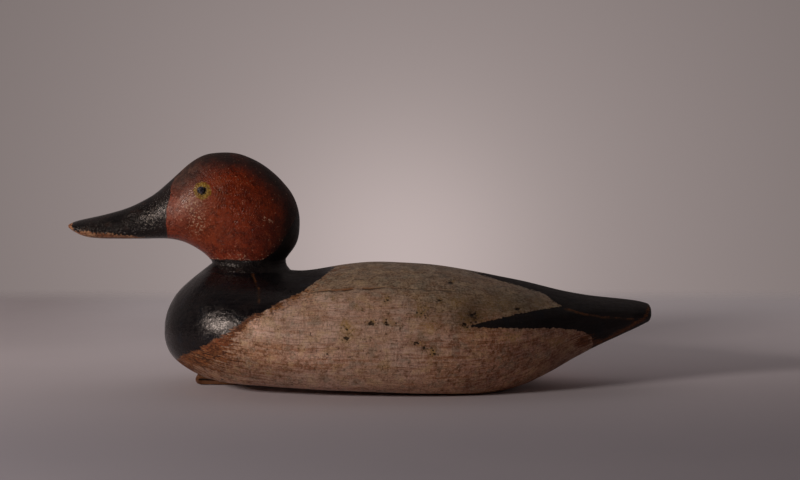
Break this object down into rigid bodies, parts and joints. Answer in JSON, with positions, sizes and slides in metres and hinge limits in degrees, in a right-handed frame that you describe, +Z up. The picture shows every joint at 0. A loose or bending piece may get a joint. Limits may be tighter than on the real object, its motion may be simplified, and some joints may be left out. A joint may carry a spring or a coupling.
{
  "type": "floating duck decoy",
  "caption": "Hollow-carved wooden diving-duck decoy with a fixed head, ballast strip and a leather tie under the breast for an anchor line.",
  "frame": {"origin": "middle of the overall length and width, on the surface the decoy stands on", "axes": "+X towards the tail (the bill points to -X), +Y towards the duck's right side, +Z up. The decoy is stored as it rests: its flat bottom is tilted 2.34 degrees, breast up, because the folded leather tie props the front"},
  "size_m": [0.4003, 0.15, 0.1605],
  "materials": {
    "body_paint": "worn oil paint: black breast and tail, off-white canvas back and flanks with brush streaks",
    "board_paint": "worn flank paint over bare wood",
    "head_paint": "worn oil paint: rust-red head, black bill and neck, crackled and chipped",
    "bare_wood": "plain turned dowel",
    "lead": "dull oxidised lead",
    "iron": "dark rusted wire nails",
    "black_enamel": "gloss black enamel over a steel tack",
    "leather": "worn brown harness leather"
  },
  "bodies": {
    "hull": {"body_shell": "body_paint", "bottom_board": "board_paint", "head": "head_paint", "neck_dowel": "bare_wood", "eye_tack_left": "black_enamel", "eye_tack_right": "black_enamel", "ballast_strip": "lead", "tie_root": "leather", "board_nail_01": "iron", "board_nail_02": "iron", "board_nail_03": "iron", "board_nail_04": "iron", "board_nail_05": "iron", "board_nail_06": "iron", "board_nail_07": "iron", "board_nail_08": "iron", "board_nail_09": "iron", "board_nail_10": "iron", "board_nail_11": "iron", "ballast_nail_01": "iron", "ballast_nail_02": "iron", "ballast_nail_03": "iron", "ballast_nail_04": "iron", "tie_nail_01": "iron", "tie_nail_02": "iron"},
    "line_tie": {"tie_loop": "leather"}
  },
  "joints": [
    {"name": "tie_swing", "type": "hinge", "parent": "hull", "child": "line_tie", "pos_m": [-0.082, 0, 0.0033], "axis": [0, -1, 0], "range_deg": [0, 115]}
  ]
}
